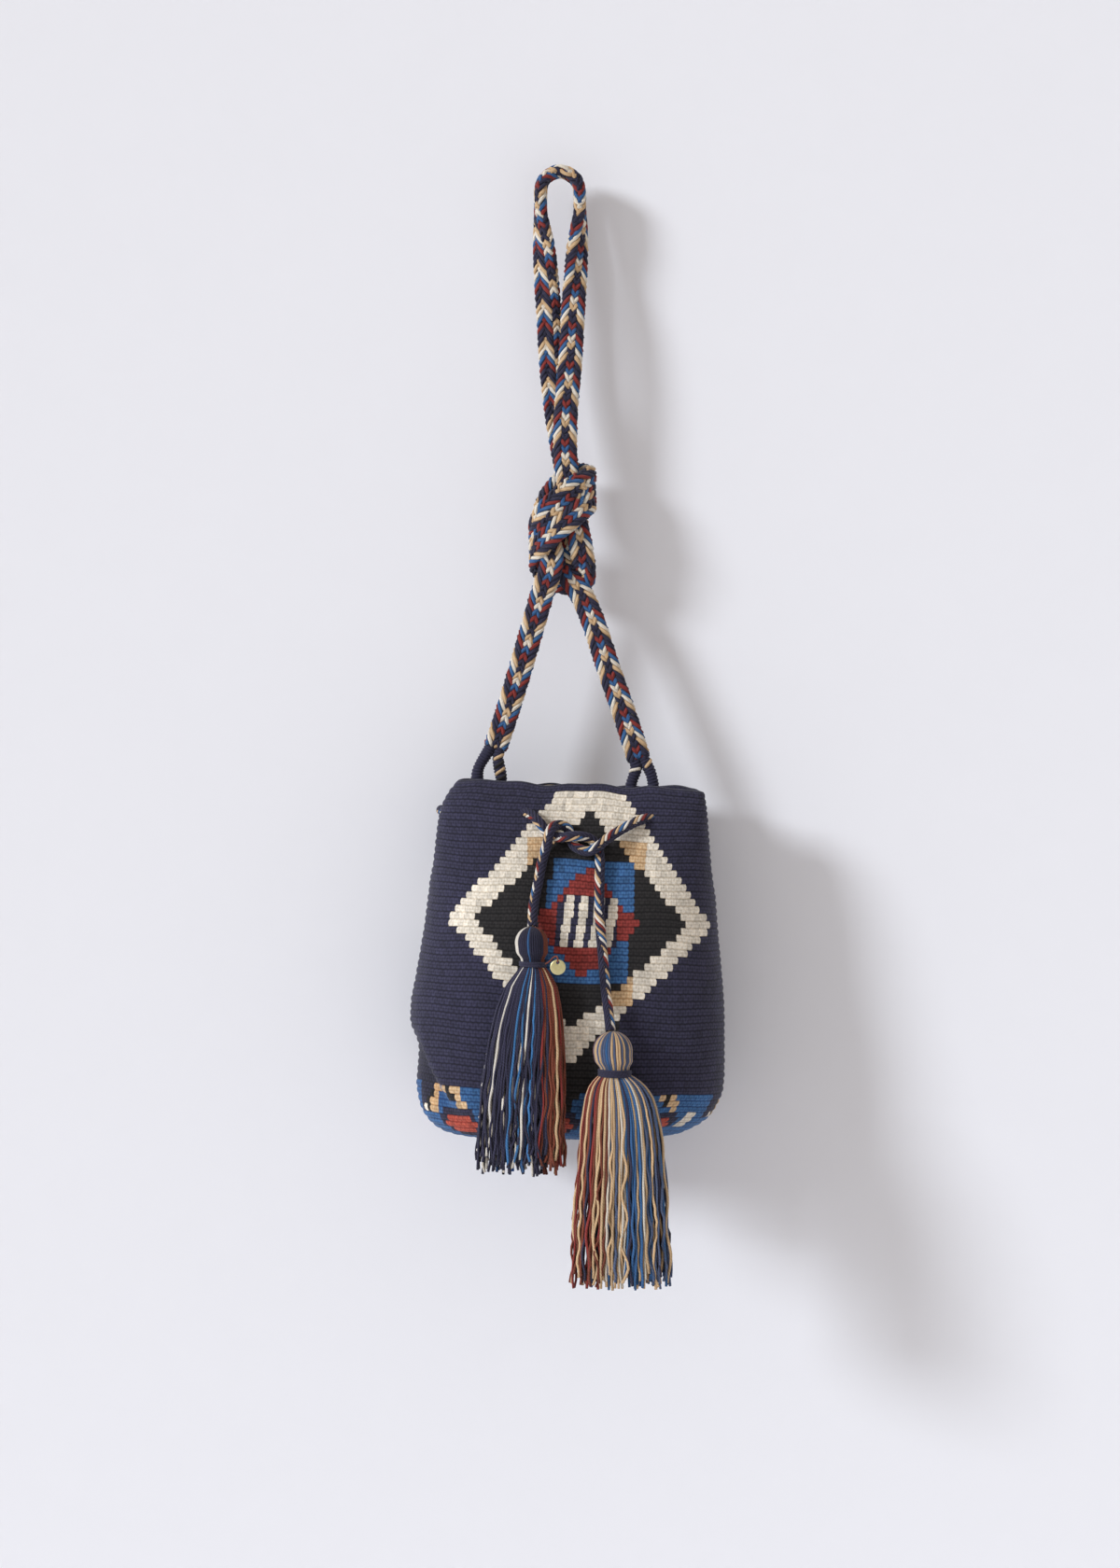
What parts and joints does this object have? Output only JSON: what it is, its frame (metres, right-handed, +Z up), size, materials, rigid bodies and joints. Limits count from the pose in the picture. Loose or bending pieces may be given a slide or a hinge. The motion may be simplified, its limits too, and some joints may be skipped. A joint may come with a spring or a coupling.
{
  "type": "wayuu mochila bag",
  "caption": "Crocheted bucket bag with a knotted braided shoulder strap, a drawcord round the mouth that ends in yarn tassels, and a small metal charm.",
  "frame": {"origin": "inside top of the shoulder strap's loop, where a peg carries the hanging bag", "axes": "+Z up, the bag's front towards -Y, +X to the right as seen from the front"},
  "size_m": [0.2107, 0.1359, 0.7453],
  "materials": {
    "crochet": "cotton crochet in navy, black, cream, tan, blue and red rows",
    "strap_braid": "tubular cotton braid of navy, red, blue, cream and tan strands",
    "wrapped_yarn": "close wraps of navy yarn",
    "cord_braid": "round cotton braid, navy with white, tan, red and blue",
    "tassel_yarn_navy": "loose twisted yarn, mostly navy",
    "tassel_yarn_rust": "loose twisted yarn, rust, tan, blue and navy",
    "thread": "single rust-coloured yarn",
    "charm_metal": "pale worn brass, bare"
  },
  "bodies": {
    "bag": {"bag_body": "crochet", "shoulder_strap": "strap_braid", "left_strap_yoke": "wrapped_yarn", "right_strap_yoke": "wrapped_yarn", "drawcord": "cord_braid"},
    "left_tassel": {"left_tassel": "tassel_yarn_navy", "left_tassel_binding": "wrapped_yarn", "charm_thread": "thread"},
    "charm": {"charm_disc": "charm_metal"},
    "right_tassel": {"right_tassel": "tassel_yarn_rust", "right_tassel_binding": "wrapped_yarn"}
  },
  "joints": [
    {"name": "left_tassel_swing", "type": "hinge", "parent": "bag", "child": "left_tassel", "pos_m": [-0.0185, -0.069, -0.5087], "axis": [-1, 0, 0], "range_deg": [0, 80]},
    {"name": "right_tassel_swing", "type": "hinge", "parent": "bag", "child": "right_tassel", "pos_m": [0.0342, -0.0732, -0.5786], "axis": [-1, 0, 0], "range_deg": [0, 80]},
    {"name": "charm_swing", "type": "hinge", "parent": "left_tassel", "child": "charm", "pos_m": [-0.0014, -0.0826, -0.5208], "axis": [0, 1, 0], "range_deg": [-45, 45]}
  ]
}
